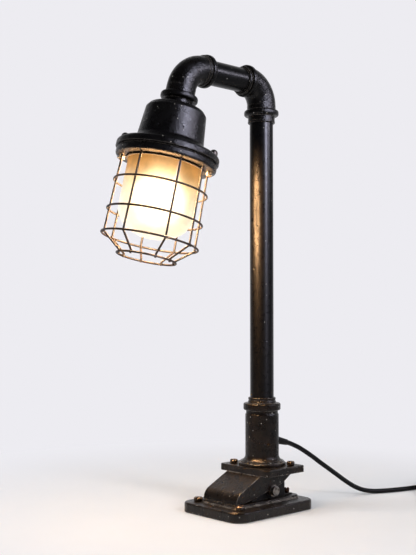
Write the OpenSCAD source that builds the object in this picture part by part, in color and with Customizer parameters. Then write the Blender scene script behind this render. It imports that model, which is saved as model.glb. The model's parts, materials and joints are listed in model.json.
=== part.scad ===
// Industrial pipe table lamp: an iron foot with a tilting bracket, a pipe column and arm that
// swivel, a caged jar-glass head and a flexible lead with an inline switch and a plug.
// Millimetres. Origin: centre of the foot's underside. +Z up, +X to the heel, -X to the arm.

/* [Foot] */
// Length of the foot plate, heel to toe
foot_len = 122; // [110:1:150]
// Width of the foot plate
foot_wid = 93; // [86:1:120]
// Height of the foot plate's top face above the table
foot_h = 11; // [8:0.5:16]
// Corner radius of the foot plate
foot_r = 14; // [8:1:20]
// Length of the raised plinth
plinth_len = 100; // [96:1:106]
// Width of the raised plinth
plinth_wid = 58; // [56:1:70]
// Height of the plinth above the foot plate
plinth_h = 3.3; // [2.5:0.1:5]
// Thickness of the rubber pad under the foot
pad_t = 2; // [1:0.5:3]

/* [Tilting bracket] */
// Diameter of the hinge pin
pin_d = 8; // [6:0.5:9]
// Height of the hinge pin's axis
pin_z = 23.3; // [23:0.1:26]
// Distance of the hinge pin from the foot's centre, towards the heel
pin_x = 12.5; // [8:0.5:16]
// Width of the bracket over its cheeks
bracket_wid = 52; // [48:1:56]
// Thickness of a cheek
cheek_t = 4.2; // [3:0.1:5]
// Length of the bracket's top plate, along X
plate_len = 60; // [54:1:70]
// Width of the bracket's top plate, along Y
plate_wid = 76; // [68:1:86]
// Thickness of the bracket's top plate
plate_t = 7.2; // [6:0.2:10]
// Height of the top plate's upper face
plate_z = 48; // [46:0.2:52]
// How far the bracket tilts back, in degrees
tilt_back = 12; // [8:1:12]

/* [Pipework] */
// Outer diameter of the pipe
pipe_d = 26.7; // [24:0.1:28]
// Wall of the pipe
pipe_wall = 2.9; // [2:0.1:3.5]
// Distance of the column from the foot's centre, towards the heel
column_x = 22; // [18:1:26]
// Height of the arm's axis
arm_z = 479; // [420:1:575]
// Distance between the column's axis and the middle of the head elbow
arm_reach = 115; // [104:1:150]
// Radial gap where a pipe turns in a fitting
swivel_gap = 0.08; // [0.05:0.01:0.1]

/* [Head] */
// Lean of the head away from the column, in degrees
head_lean = 11.8; // [0:0.1:15]
// Roll of the head about the arm, in degrees
head_roll = 3.5; // [0:0.5:8]
// Largest diameter of the cap's flange
flange_d = 109.8; // [108:0.2:120]
// Diameter of the cap where it meets its rounded top
cap_d = 65; // [62:1:72]
// Outer diameter of the jar glass
glass_d = 79; // [74:1:80]
// Depth of the jar glass below the flange
glass_depth = 80.5; // [70:0.5:95]
// Diameter of the cage wire
wire_d = 2.2; // [1.8:0.1:2.6]
// Number of ribs in the cage
rib_count = 8; // [6:1:10]

/* [Cord] */
// Diameter of the cord
cord_d = 5.5; // [5:0.1:6]
// Turns of cord in the stored coil
coil_turns = 6.5; // [6.5:1:8.5]
// Smallest radius of the coil, to the cord's middle
coil_inner_r = 23; // [22:0.5:26]

/* [Hidden] */
$fn = 64;

// Colours
IRON = "#33312f";
DARK = "#201f1e";
STEEL = "#b9b6ae";
RUST = "#7a5a48";
RUBBER = "#161616";
BRASS = "#c9a45c";
GLASS = "#e9c98a";
LIT = "#fff2cf";
PORCELAIN = "#e8e4da";

// Clearances
seat_gap = 0.3;      // between parts of different bodies that lie on each other
fit_gap = 0.1;       // radial, between parts that are screwed or pushed together
weld = 0.1;          // how far welded wires run into each other

// Foot
foot_edge = 2;
pad_lift = 0.5;      // how far the pad stands below the iron
pad_inset = 7;
plinth_x = 4;        // middle of the plinth
plinth_z = foot_h + plinth_h;
step_h = 1.1;        // low step round the plinth
step_w = 1.2;
base_screw_x = -45;
base_screw_y = 33;
base_screw_d = 10;
base_screw_head = 4.4;

// Hinge block
block_t = 1.5;       // thickness of the block's floor
lug_t = 4;
lug_gap = 0.5;       // between a lug and a cheek
lug_heel = 36;
lug_toe = -8;
block_heel = 48;
block_toe = -16;
cheek_in = bracket_wid / 2 - cheek_t;
lug_out = cheek_in - lug_gap;
block_z = plinth_z + block_t;
plate_low = plate_z - plate_t;
// The lugs' heel corners stop the plate when the bracket has tilted back
lug_arm = lug_heel - pin_x;
lug_top = pin_z + ((plate_low - pin_z) - seat_gap - lug_arm * sin(tilt_back + 0.5)) / cos(tilt_back + 0.5);
ear_r = 6.3;
pin_head_d = 10.8;
pin_head_t = 3.4;
washer_d = 13;
washer_t = 1.4;
block_screw_x = [-12, 43.5];
block_screw_y = 17.5;
block_screw_head = 6;

// Bracket
toe_x = -43.5;       // front of the bracket's toe
toe_z = plinth_z + seat_gap;
web_t = 5;
slope = 26.5;        // of the bracket's front face, in degrees
toe_r = 13.2;
plate_front = column_x - plate_len / 2;
plate_screw_x = 18;
plate_screw_y = 27;

// Coupling on the bracket
pipe_r = pipe_d / 2;
bore_r = pipe_r - pipe_wall;
sleeve_r = pipe_r + 5.5;
sleeve_top = 105;
seat_z = 88;         // shoulder that carries the column pipe
band_z = 109;
coupling_top = 123.3;
spigot_r = 12;
spigot_low = plate_low - 7;
locknut_t = 5;
gland_z = 74;
gland_r = 4.2;
gland_face = 2.2;    // thickness of the gland's hexagon
boot_drop = 14;      // degrees that the boot hangs below level
boot_len = 22.2;

// Elbows. Distances run from the crossing of an elbow's two axes
body_r = pipe_r + 2.85;
elbow_bore = bore_r + 0.7;
fit_band_r = 19.7;
arm_band_r = 18;
lip_r = pipe_r + 2.15;
neck_r = pipe_r + 1.85;
bend_r = 25;
socket_stop = 26.5;
column_leg = 45;
arm_leg = 32.4;
head_turn = 90 - head_lean;
head_bend_r = 29;
head_body_r = pipe_r + 2.3;
head_band_r = 20.1;
head_leg = 45.4;
head_x = column_x - arm_reach;

// Head. Distances run down the head's axis from the middle of the head elbow
cap_top = 45.8;
cap_wall = 3;
cap_r = cap_d / 2;
cap_low_r = cap_r + 3;
cap_side = 51.5;     // where the rounded top ends
cap_fillet = 81.2;
flange_r = flange_d / 2;
seam = 99.3;
seam_gap = 0.3;
ring_top = seam + seam_gap;
ring_low = 107.8;
ring_r = flange_r - 1.4;
ring_floor = 105.2;
glass_r = glass_d / 2;
glass_wall = 2.4;
glass_low = ring_low + glass_depth;
dome_h = 28;         // depth of the jar's rounded end
collar_r = glass_r + 3.8;
bolt_ring_r = 47.2;
bolt_turn = -42.5;   // where the two bolts stand, seen from above
bolt_d = 4;
nipple_r = 9.8;
head_bore = nipple_r - 2;
nipple_low = 60;
rib_turn = 17;
rib_bent = 5;        // the rib that stands a little out of its place, by rib_drift degrees
rib_drift = 7.5;
rib_top_r = 46.2;
rib_low_r = 48.7;
rib_bend = 191;      // where the ribs turn inwards
hoop_at = [134.3, 165.3, 191.1];
end_at = 208.4;
end_r = 31.1;
wire_r = wire_d / 2;
holder_r = 19;
holder_top = 56.5;
holder_low = 99;
screw_r = 13.1;      // radius of the bulb's threaded base
bulb_tip = 74;
bulb_neck = 100;
globe_r = 27.5;
globe_at = 145;

// Cord. The route runs from the boot to the coil, in hand-chosen points
cord_r = cord_d / 2;
coil_pitch = cord_d + 0.6;
coil_x = 274;
coil_y = -104;
coil_z = cord_r + 0.75;
coil_outer_r = coil_inner_r + coil_pitch * coil_turns / 2;
coil_steps = 24;     // rings in each turn
boot_tip = [column_x + sleeve_r + boot_len * cos(boot_drop), 0, gland_z - boot_len * sin(boot_drop)];
lead_route = [[70, 0, 66.2], [82, -1, 61], [93, -2, 55], [104, -5, 47.5], [114, -8, 40],
    [124, -12, 32.5], [133, -17, 25], [142, -22, 17.5], [152, -27, 10.5], [163, -32, 5.5],
    [175, -38, 3.2], [188, -44, 2.8], [201, -49, 2.8], [215, -53.5, 2.8], [230, -57, 2.9],
    [244, -60, 3.1], [259, -61.2, 3.3]];
tail_z = 9;
switch_x = 222;      // middle of the switch
switch_y = -147;
switch_len = 56;
switch_wid = 24;
switch_h = 18;
switch_wall = 2;
end_route = [[187, -147, 8.8], [178.1, -145, 7.8], [170.9, -139.5, 6.2], [166.7, -131.4, 4.4],
    [166.3, -122.4, 3.2], [169.8, -114, 2.8], [176.5, -107.8, 2.8], [189, -100.6, 3.3],
    [202, -93.1, 6], [217.4, -84.2, 11.6], [228.5, -79.6, 16.2], [235, -78.4, 18.4]];
plug_x = 256;        // back of the plug's body, which lies on the coil
plug_y = -78;
plug_z = 19.5;
plug_len = 36;
plug_h = 13.6;
plug_boot_len = 15;
plug_pin_len = 19;
plug_pin_gap = 18.6;
plug_pin_d = 4;
plug_pin_root = 7;   // thinner root of a pin, inside the plug

// ---------------------------------------------------------------- helpers

// Points of an arc about c, from angle a to angle b
function arc(c, r, a, b, n = 8) = [for (i = [0 : n]) c + r * [cos(a + (b - a) * i / n), sin(a + (b - a) * i / n)]];

function unit(v) = v / norm(v);

// A ring of points about p, square to direction t, with ref out of the plane of the bend
function ring_at(p, t, r, sides, ref) =
    let (u = unit(cross(ref, t)), v = cross(t, u))
    [for (k = [0 : sides - 1]) p + r * (cos(360 * k / sides) * u + sin(360 * k / sides) * v)];

// A round tube swept along path, closed by flat ends square to first and last
module swept_tube(path, r, sides, first, last, ref) {
    n = len(path);
    dirs = [for (i = [0 : n - 1]) i == 0 ? unit(first) : i == n - 1 ? unit(last) : unit(path[i + 1] - path[i - 1])];
    points = [for (i = [0 : n - 1]) each ring_at(path[i], dirs[i], r, sides, ref)];
    sides_faces = [for (i = [0 : n - 2]) for (k = [0 : sides - 1])
        let (a = i * sides + k, b = i * sides + (k + 1) % sides)
        each [[a, a + sides, b + sides], [a, b + sides, b]]];
    caps = concat([for (k = [1 : sides - 2]) [0, k, k + 1]],
        [for (k = [1 : sides - 2]) [(n - 1) * sides, (n - 1) * sides + k + 1, (n - 1) * sides + k]]);
    polyhedron(points, concat(sides_faces, caps));
}

// A slab with rounded corners in plan and a rounded upper edge, standing on z = 0
module slab(l, w, h, r, edge) {
    for (x = [-1, 1], y = [-1, 1])
        translate([x * (l / 2 - r), y * (w / 2 - r), 0]) rotate_extrude() slab_half(r, h, edge);
    rotate([90, 0, 90]) translate([0, 0, r - l / 2]) linear_extrude(l - 2 * r) slab_side(w, h, edge);
    rotate([90, 0, 0]) translate([0, 0, r - w / 2]) linear_extrude(w - 2 * r) slab_side(l, h, edge);
}

module slab_half(r, h, edge) {
    square([r - edge, h]);
    square([r, h - edge]);
    translate([r - edge, h - edge]) circle(edge, $fn = 32);
}

module slab_side(w, h, edge) {
    slab_half(w / 2, h, edge);
    mirror([1, 0]) slab_half(w / 2, h, edge);
}

// A collar on a turned part: from a to b along the axis, out to radius r, with rounded edges
module collar(a, b, r, edge, inner = 0) {
    translate([inner, a + edge]) square([r - inner, b - a - 2 * edge]);
    translate([inner, a]) square([r - edge - inner, b - a]);
    for (z = [a + edge, b - edge]) translate([r - edge, z]) circle(edge, $fn = 32);
}

// A round rod between two points
module rod(p, q, r) {
    d = q - p;
    translate(p) rotate([0, acos(d[2] / norm(d)), atan2(d[1], d[0])]) cylinder(r = r, h = norm(d), $fn = 24);
}

// A slotted cheese head on a shank, head up, with its seat at z = 0
module slotted_screw(head_d, head_h, shank_d, shank_len, turn) {
    difference() {
        union() {
            rotate_extrude() difference() {
                collar(0, head_h, head_d / 2, head_h * 0.3);
                translate([-head_d, 0]) square([head_d, head_h * 2]);
            }
            translate([0, 0, -shank_len]) cylinder(d = shank_d, h = shank_len + 1);
        }
        rotate([0, 0, turn]) translate([-head_d, -0.6, head_h - 1.3]) cube([2 * head_d, 1.2, 3]);
    }
}

module hex_nut(across, t, hole_r) {
    difference() {
        cylinder(d = across / cos(30), h = t, $fn = 6);
        translate([0, 0, -1]) cylinder(r = hole_r, h = t + 2);
    }
}

// The head's own frame: its axis runs down from the middle of the head elbow
module on_head() {
    translate([head_x, 0, arm_z]) rotate([head_roll, 0, 0]) rotate([0, head_lean, 0]) children();
}

// Turned part of the head, drawn with its distance down the axis as y
module head_turned() {
    on_head() mirror([0, 0, 1]) rotate_extrude($fn = 96) children();
}

// ---------------------------------------------------------------- foot

module base_plate() color(IRON) difference() {
    union() {
        translate([0, 0, pad_lift]) slab(foot_len, foot_wid, foot_h - pad_lift, foot_r, foot_edge);
        translate([plinth_x, 0, foot_h - 1])
            slab(plinth_len + 2 * step_w, plinth_wid + 2 * step_w, 1 + step_h, 9, 0.5);
        translate([plinth_x, 0, foot_h - 1]) slab(plinth_len, plinth_wid, 1 + plinth_h, 8, 1);
    }
    translate([0, 0, pad_lift - 1])
        linear_extrude(1 + pad_t - pad_lift) pad_outline(fit_gap);
    for (y = [-1, 1]) translate([base_screw_x, y * base_screw_y, foot_h - 7])
        cylinder(r = 2.5 + fit_gap, h = 10);
    for (x = block_screw_x, y = [-1, 1])
        translate([x, y * block_screw_y, plinth_z - 8]) cylinder(r = 2 + fit_gap, h = 10);
}

module pad_outline(grow) {
    r = foot_r - pad_inset + grow;
    l = foot_len / 2 - pad_inset + grow;
    w = foot_wid / 2 - pad_inset + grow;
    square([2 * (l - r), 2 * w], center = true);
    square([2 * l, 2 * (w - r)], center = true);
    for (x = [-1, 1], y = [-1, 1]) translate([x * (l - r), y * (w - r)]) circle(r);
}

module base_pad() color(RUBBER) linear_extrude(pad_t) pad_outline(0);

module base_screws() color(STEEL)
    for (y = [-1, 1]) translate([base_screw_x, y * base_screw_y, foot_h])
        slotted_screw(base_screw_d, base_screw_head, 5, 5.5, 25 * y);

// ---------------------------------------------------------------- hinge

module hinge_block() color(DARK) difference() {
    union() {
        translate([block_toe, -lug_out, plinth_z]) cube([block_heel - block_toe, 2 * lug_out, block_t]);
        for (y = [-lug_out, lug_out - lug_t]) translate([0, y + lug_t, 0]) rotate([90, 0, 0])
            linear_extrude(lug_t) polygon([[lug_toe, plinth_z], [lug_heel, plinth_z],
                [lug_heel, lug_top], [pin_x - 4, lug_top], [lug_toe, plinth_z + 7]]);
    }
    translate([pin_x, lug_out + 1, pin_z]) rotate([90, 0, 0])
        cylinder(r = pin_d / 2 + fit_gap, h = 2 * lug_out + 2);
    for (x = block_screw_x, y = [-1, 1])
        translate([x, y * block_screw_y, plinth_z - 1]) cylinder(r = 2 + fit_gap, h = block_t + 2);
}

module block_screws() color(RUST)
    for (x = block_screw_x, y = [-1, 1])
        translate([x, y * block_screw_y, block_z])
            slotted_screw(6, x > 0 ? block_screw_head : 2.2, 4, 6, 40);

// Where the pin's head and its far end stand
pin_face = bracket_wid / 2 + seat_gap + washer_t + fit_gap;
pin_end = pin_face + 5;

module hinge_pin() color(STEEL) translate([pin_x, 0, pin_z]) rotate([90, 0, 0]) difference() {
    union() {
        translate([0, 0, -pin_end]) cylinder(d = pin_d, h = pin_end + pin_face + 0.5);
        translate([0, 0, pin_face]) rotate_extrude() difference() {
            collar(0, pin_head_t, pin_head_d / 2, 0.8);
            translate([-pin_head_d, 0]) square([pin_head_d, 2 * pin_head_t]);
        }
    }
    // groove for the clip
    translate([0, 0, -pin_face - 1.5]) difference() {
        cylinder(d = pin_d + 2, h = 1.2);
        translate([0, 0, -1]) cylinder(d = pin_d - 1.6, h = 4);
    }
}

module pin_washers() color(STEEL)
    for (side = [-1, 1]) translate([pin_x, side * (bracket_wid / 2 + seat_gap + washer_t / 2), pin_z])
        rotate([90, 0, 0]) difference() {
            cylinder(d = washer_d, h = washer_t, center = true);
            cylinder(r = pin_d / 2 + fit_gap, h = washer_t + 2, center = true);
        }

module pin_clip() color(STEEL)
    translate([pin_x, pin_face + 0.45, pin_z]) rotate([-90, 0, 0]) difference() {
        cylinder(d = pin_d + 4, h = 0.9);
        translate([0, 0, -1]) cylinder(r = (pin_d - 1.6) / 2 + fit_gap, h = 3);
        translate([-2.6, -pin_d, -1]) cube([5.2, pin_d, 3]);
    }

// ---------------------------------------------------------------- tilting bracket

// Front face of the bracket from its toe to the plate, inset by t
slope_top = [plate_front + 0.4, plate_low];
slope_dir = [cos(slope), sin(slope)];
slope_out = [-sin(slope), cos(slope)];
// centre of the arc that joins the upright toe to the slope
toe_c = [toe_x + toe_r, slope_top[1] - toe_r / cos(slope) - (slope_top[0] - toe_x - toe_r) * tan(slope)];

function front(t, top) = concat([[toe_x + t, toe_z]], arc(toe_c, toe_r - t, 180, 90 + slope),
    [let (p = toe_c + (toe_r - t) * slope_out) p + slope_dir * (top - p[1]) / slope_dir[1]]);

module cheek_outline() {
    polygon(concat(front(0, plate_low + 1), [[column_x + 23.5, plate_low + 1], [column_x + 23.5, plate_low],
        [column_x + 14, 34.5], [column_x + 7, 30.2], [column_x - 2, 27.2], [5, 23.6], [-14, 18.4], [-34, toe_z]]));
    translate([pin_x, pin_z]) circle(ear_r);
    translate([pin_x - ear_r, pin_z]) square([2 * ear_r, 6]);
}

module web_outline() polygon(concat(front(0, plate_low + 1), [for (i = [9 : -1 : 0]) front(web_t, plate_low + 1)[i]],
    [[toe_x + web_t, toe_z]]));

module tilt_bracket() color(IRON) difference() {
    union() {
        for (y = [-1, 1]) translate([0, y * (bracket_wid / 2 - cheek_t / 2) + cheek_t / 2, 0])
            rotate([90, 0, 0]) linear_extrude(cheek_t) cheek_outline();
        translate([0, bracket_wid / 2 - 1, 0]) rotate([90, 0, 0]) linear_extrude(bracket_wid - 2) web_outline();
        translate([column_x, 0, plate_low]) slab(plate_len, plate_wid, plate_t, 4, 1);
    }
    translate([column_x, 0, plate_low - 1]) cylinder(r = spigot_r + fit_gap, h = plate_t + 2);
    for (s = [-1, 1]) translate([column_x + s * plate_screw_x, -s * plate_screw_y, plate_z - 5.6])
        cylinder(r = 2 + fit_gap, h = 8);
    translate([pin_x, bracket_wid, pin_z]) rotate([90, 0, 0])
        cylinder(r = pin_d / 2 + swivel_gap, h = 2 * bracket_wid);
}

module plate_screws() color(STEEL)
    for (s = [-1, 1]) translate([column_x + s * plate_screw_x, -s * plate_screw_y, plate_z])
        slotted_screw(8.8, 4.4, 4, 5, 10 * s);

module coupling() color(IRON) difference() {
    translate([column_x, 0, 0]) rotate_extrude($fn = 96) difference() {
        union() {
            collar(plate_z, plate_z + 3, sleeve_r + 7.6, 1);
            collar(plate_z + 2, plate_z + 4.6, sleeve_r + 5.6, 0.6);
            // flare from the foot into the sleeve
            polygon(concat([[0, plate_z]], arc([sleeve_r + 6.5, plate_z + 11], 6.5, 245, 180),
                [[sleeve_r, sleeve_top - 1], [sleeve_r - 0.9, sleeve_top + 1], [sleeve_r - 0.9, band_z + 1], [0, band_z + 1]]));
            collar(band_z, band_z + 8, sleeve_r + 2.1, 1.8);
            polygon([[0, band_z + 6], [pipe_r + 2.6, band_z + 6], [pipe_r + 2.4, band_z + 9.5],
                [pipe_r + 1.8, band_z + 11], [pipe_r + 1.8, coupling_top - 1], [0, coupling_top - 1]]);
            collar(coupling_top - 3, coupling_top, pipe_r + 2.15, 1.1);
            translate([0, spigot_low]) square([spigot_r, plate_z - spigot_low + 1]);
        }
        translate([-60, 0]) square([60, 200]);
        translate([0, seat_z]) square([pipe_r + swivel_gap, 100]);
        translate([0, spigot_low - 1]) square([bore_r - 1.5, 100]);
        translate([0, plate_z + 8]) square([bore_r, 100]);
    }
    translate([column_x, 0, gland_z]) rotate([0, 90, 0]) cylinder(r = gland_r + fit_gap, h = 40);
}

module foot_locknut() color(DARK) translate([column_x, 0, plate_low - locknut_t]) hex_nut(29, locknut_t, spigot_r + fit_gap);

// Threaded gland that passes the coupling's wall and clamps the boot
module gland_nut() color(DARK) translate([column_x, 0, gland_z]) rotate([0, 90, 0]) difference() {
    union() {
        translate([0, 0, sleeve_r - 4]) cylinder(r = gland_r, h = 5);
        translate([0, 0, sleeve_r]) cylinder(r = 6, h = gland_face, $fn = 6);
    }
    cylinder(r = cord_r + 0.2, h = 40);
}

// Rubber boot: a short straight collar, then a taper that hangs a little below level
module cord_boot() color(RUBBER) translate([column_x + sleeve_r, 0, gland_z]) {
    rotate([0, 90, 0]) translate([0, 0, gland_face]) cylinder(r = 4.7, h = 2.4);
    rotate([0, 90 + boot_drop, 0]) translate([0, 0, gland_face + 1.5])
        cylinder(r1 = 4.5, r2 = cord_r + 0.6, h = boot_len - gland_face - 1.5);
}

module lead_lower() color(RUBBER)
    swept_tube([[column_x + sleeve_r - 4, 0, gland_z], [column_x + 10, 0, gland_z + 1],
        [column_x + 5.5, 0, gland_z + 3.5], [column_x + 2, 0, gland_z + 8], [column_x + 0.3, 0, gland_z + 13],
        [column_x, 0, seat_z + 6]], cord_r * 0.85, 8, [-1, 0, 0], [0, 0, 1], [0, 1, 0]);

// ---------------------------------------------------------------- column and arm

// Bead sunk into the ends of two joined pieces, so that they fuse
lap = 0.3;
lap_r = 0.12;

// Leg of an elbow along +Z for the column: its bend ends at from
module column_leg_turned(from) rotate_extrude($fn = 96) difference() {
    union() {
        translate([0, from - lap]) square([body_r + lap_r, 31 + lap - from]);
        collar(30, 36.9, fit_band_r, 2.6);
        translate([0, 31]) square([neck_r, column_leg - 31.5]);
        collar(column_leg - 2.6, column_leg, lip_r, 0.9);
    }
    translate([-60, -1]) square([60, 200]);
    translate([0, socket_stop + 1]) square([pipe_r + swivel_gap, 100]);
    translate([0, from - 1]) square([elbow_bore + lap_r, 100]);
}

// Leg of an elbow along +Z for the arm: a band of width, a groove and a lip
module arm_leg_turned(from, band, width, r, bore) rotate_extrude($fn = 96) difference() {
    union() {
        translate([0, from - lap]) square([r, band + 1 + lap - from]);
        collar(band, band + width, arm_band_r, 1.7);
        translate([0, band + 1]) square([pipe_r + 1.5, arm_leg - band - 1.5]);
        collar(arm_leg - 2.6, arm_leg, pipe_r + 2.4, 0.9);
    }
    translate([-60, -1]) square([60, 200]);
    translate([0, socket_stop - 1]) square([pipe_r + swivel_gap, 100]);
    square([bore, 100]);
}

// Bend that turns by angle from +Z towards +X, starting at z = -reach below the crossing
module elbow_bend(angle, r, outer, bore) {
    reach = r * tan(angle / 2);
    translate([r, 0, -reach]) rotate([90, 0, 0]) mirror([1, 0, 0]) rotate_extrude(angle = angle, $fn = 96)
        translate([r, 0]) difference() {
            circle(outer);
            circle(bore);
        }
}

module column_elbow() color(IRON) translate([column_x, 0, arm_z]) {
    mirror([1, 0, 0]) elbow_bend(90, bend_r, body_r, elbow_bore);
    rotate([180, 0, 0]) column_leg_turned(bend_r);
    rotate([0, -90, 0]) arm_leg_turned(bend_r, 22.6, 5.8, body_r + lap_r, elbow_bore + lap_r);
}

module column_pipe() color(IRON) translate([column_x, 0, seat_z + seat_gap]) difference() {
    cylinder(r = pipe_r, h = arm_z - socket_stop - 1.2 - seat_z - seat_gap, $fn = 96);
    translate([0, 0, -1]) cylinder(r = bore_r, h = arm_z, $fn = 96);
}

arm_from = head_x + socket_stop - 1 + seat_gap;
arm_to = column_x - socket_stop + 1 - 0.2;

module arm_nipple() color(IRON) translate([arm_from, 0, arm_z]) rotate([0, 90, 0]) difference() {
    cylinder(r = pipe_r, h = arm_to - arm_from, $fn = 96);
    translate([0, 0, -1]) cylinder(r = bore_r, h = arm_reach, $fn = 96);
}

// Where the arm's lead meets the head's lead, on the arm's axis
lead_split = head_x + 30;

module lead_upper() color(RUBBER)
    swept_tube(concat([[column_x, 0, seat_z + 6], [column_x, 0, 180], [column_x, 0, 300], [column_x, 0, 420]],
        [for (a = [0 : 15 : 90]) [column_x - bend_r + bend_r * cos(a), 0, arm_z - bend_r + bend_r * sin(a)]],
        [[lead_split, 0, arm_z]]), cord_r * 0.85, 8, [0, 0, 1], [-1, 0, 0], [0, 1, 0]);

// ---------------------------------------------------------------- head fittings

head_reach = head_bend_r * tan(head_turn / 2);

module head_elbow() color(IRON) translate([head_x, 0, arm_z]) rotate([head_roll, 0, 0]) {
    rotate([0, 90, 0]) {
        arm_leg_turned(head_reach, 25.6, 5.4, head_body_r + lap_r, head_bore + lap_r);
        rotate_extrude($fn = 96) difference() {
            collar(21.8, 24.4, head_body_r + 1.3, 1);
            translate([-60, 0]) square([60 + head_body_r - 2, 200]);
        }
    }
    rotate([0, head_lean, 0]) {
        elbow_bend(head_turn, head_bend_r, head_body_r, head_bore);
        mirror([0, 0, 1]) rotate_extrude($fn = 96) difference() {
            union() {
                translate([0, head_reach - lap]) square([head_body_r + lap_r, 32.4 + lap - head_reach]);
                collar(31.4, 38.2, head_band_r, 2.6);
                translate([0, 32.4]) square([neck_r, head_leg - 32.9]);
                collar(head_leg - 2.6, head_leg, lip_r, 0.9);
            }
            translate([-60, -1]) square([60, 200]);
            translate([0, 30]) square([nipple_r + fit_gap, 100]);
            translate([0, head_reach - 1]) square([head_bore + lap_r, 100]);
        }
    }
}

module head_nipple() color(STEEL) head_turned() translate([nipple_r - 1.6, 30.4]) square([1.6, nipple_low - 30.4]);

module cap() color(IRON) difference() {
    head_turned() difference() {
        union() {
            polygon(concat([[0, cap_top]], arc([cap_r - 7, cap_side], cap_side - cap_top, 270, 330, 6),
                arc([cap_r - 2.6, cap_side + 0.6], 2.6, 300, 355, 5),
                [[cap_low_r, cap_fillet]], arc([cap_low_r + 4.5, cap_fillet], 4.5, 180, 118, 5),
                [[flange_r - 4.6, seam - 7.6]], arc([flange_r - 4.4, seam - 3.6], 4.4, 300, 360, 6),
                [[flange_r, seam], [0, seam]]));
        }
        polygon([[-1, cap_top + cap_wall], [cap_r - 8, cap_top + cap_wall], [cap_r - cap_wall, cap_side + 4],
            [cap_low_r - cap_wall, cap_fillet], [37.5, seam - 6], [37.5, seam + 1], [-1, seam + 1]]);
        translate([-1, 0]) square([1 + nipple_r + fit_gap, 60]);
        translate([-60, 0]) square([60, 200]);
    }
    at_bolts() translate([0, 0, -seam - 1]) cylinder(r = bolt_d / 2 + 0.15, h = 30);
    at_bolts() translate([0, 0, -bolt_seat]) cylinder(r = 5.2, h = 20);
}

// Places children on the flange's two bolts, z along the head's axis
bolt_seat = 91;
module at_bolts() on_head() for (a = [0, 180]) rotate([0, 0, bolt_turn + a]) translate([bolt_ring_r, 0, 0]) children();

module flange_bolts() color(DARK) at_bolts() {
    translate([0, 0, -bolt_seat]) cylinder(r = 4.3, h = 4.2);
    translate([0, 0, -bolt_seat + 4.2]) intersection() {
        sphere(4.3, $fn = 48);
        translate([0, 0, -1]) cylinder(r = 5, h = 6);
    }
    translate([0, 0, -ring_low - 4.4]) cylinder(d = bolt_d, h = ring_low + 4.4 - bolt_seat + 0.5);
}

module flange_nuts() color(STEEL) at_bolts() translate([0, 0, -ring_low - 3.2]) hex_nut(7, 3.2, bolt_d / 2 + fit_gap);

module cap_locknut() color(STEEL) on_head() translate([0, 0, -cap_top - cap_wall - 4])
    hex_nut(27, 4, nipple_r + fit_gap);

module cage_ring() color(IRON) difference() {
    head_turned() difference() {
        union() {
            translate([0, ring_top]) square([ring_r - 1.2, 2]);
            collar(ring_top + 0.9, ring_low, ring_r, 2);
        }
        translate([-60, 0]) square([60, 200]);
        translate([-1, ring_top - 1]) square([collar_r + 1.4, ring_floor - ring_top + 1]);
        translate([-1, ring_top - 1]) square([glass_r + 3.5, 20]);
    }
    at_bolts() translate([0, 0, -ring_low - 1]) cylinder(r = bolt_d / 2 + 0.15, h = 30);
}

// Flat seal between the cap and the jar's collar
module cap_gasket() color(RUBBER) head_turned() translate([glass_r - 1, seam]) square([collar_r - glass_r + 1, 1.2]);

// Seal that carries the jar's collar and shows as a dark ring under the flange
module glass_gasket() color(RUBBER) head_turned() {
    translate([glass_r + 0.2, ring_floor - 1.6]) square([collar_r - glass_r, 1.6]);
    translate([glass_r + 0.2, ring_floor - 1.6]) square([2, 6.2]);
}

module glass_jar() color(GLASS, 0.4) head_turned() difference() {
    union() {
        translate([0, seam + 1.3]) square([collar_r, ring_floor - 1.6 - seam - 1.4]);
        translate([0, seam + 1.3]) square([glass_r, glass_low - dome_h - seam - 1.3]);
        polygon(jar_dome(glass_r, dome_h));
    }
    polygon(concat([[-1, seam]], [[glass_r - glass_wall, seam], [glass_r - glass_wall, glass_low - dome_h]],
        [for (a = [0 : 10 : 90]) [(glass_r - glass_wall) * cos(a), glass_low - dome_h + (dome_h - glass_wall) * sin(a)]],
        [[-1, glass_low - glass_wall]]));
    translate([-60, 0]) square([60, 300]);
}

function jar_dome(r, h) = concat([[0, glass_low - dome_h - 1], [r, glass_low - dome_h - 1]],
    [for (a = [0 : 10 : 90]) [r * cos(a), glass_low - dome_h + h * sin(a)]]);

// ---------------------------------------------------------------- wire cage

function rib_r(s) = rib_top_r + (rib_low_r - rib_top_r) * (s - ring_low) / (rib_bend - ring_low);

// One rib: down the cage, inwards at the knee, and down again at the end hoop
module rib() {
    knee = [rib_low_r, 0, -rib_bend];
    toe = [end_r - wire_d + weld, 0, 1.5 - end_at];
    rod([rib_top_r, 0, 1.5 - ring_low], knee, wire_r);
    rod(knee, toe, wire_r);
    rod(toe, toe - [0, 0, 3.6], wire_r);
    for (p = [knee, toe]) translate(p) rotate([90, 0, 0]) sphere(wire_r + 0.08, $fn = 24);
}

module cage_ribs() color(DARK) on_head() for (i = [0 : rib_count - 1])
    rotate([0, 0, rib_turn + 360 * i / rib_count + (i == rib_bent ? rib_drift : 0)]) rib();

module cage_hoops() color(DARK) for (s = hoop_at) head_turned()
    translate([rib_r(s) + wire_d - weld, s]) circle(wire_r, $fn = 24);

module cage_end_hoop() color(DARK) head_turned() translate([end_r, end_at + 0.5]) circle(wire_r, $fn = 24);

// ---------------------------------------------------------------- lampholder and bulb

module lampholder() color(PORCELAIN) head_turned() difference() {
    union() {
        collar(holder_top, holder_low, holder_r, 1.5);
        translate([0, holder_top - 2]) square([13, 4]);
    }
    translate([-60, 0]) square([60, 200]);
    translate([-1, 66]) square([1 + screw_r + 1.6, 100]);
    translate([-1, holder_top - 3]) square([1 + nipple_r + fit_gap, 7]);
    translate([-1, 50]) square([4, 30]);
}

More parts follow.
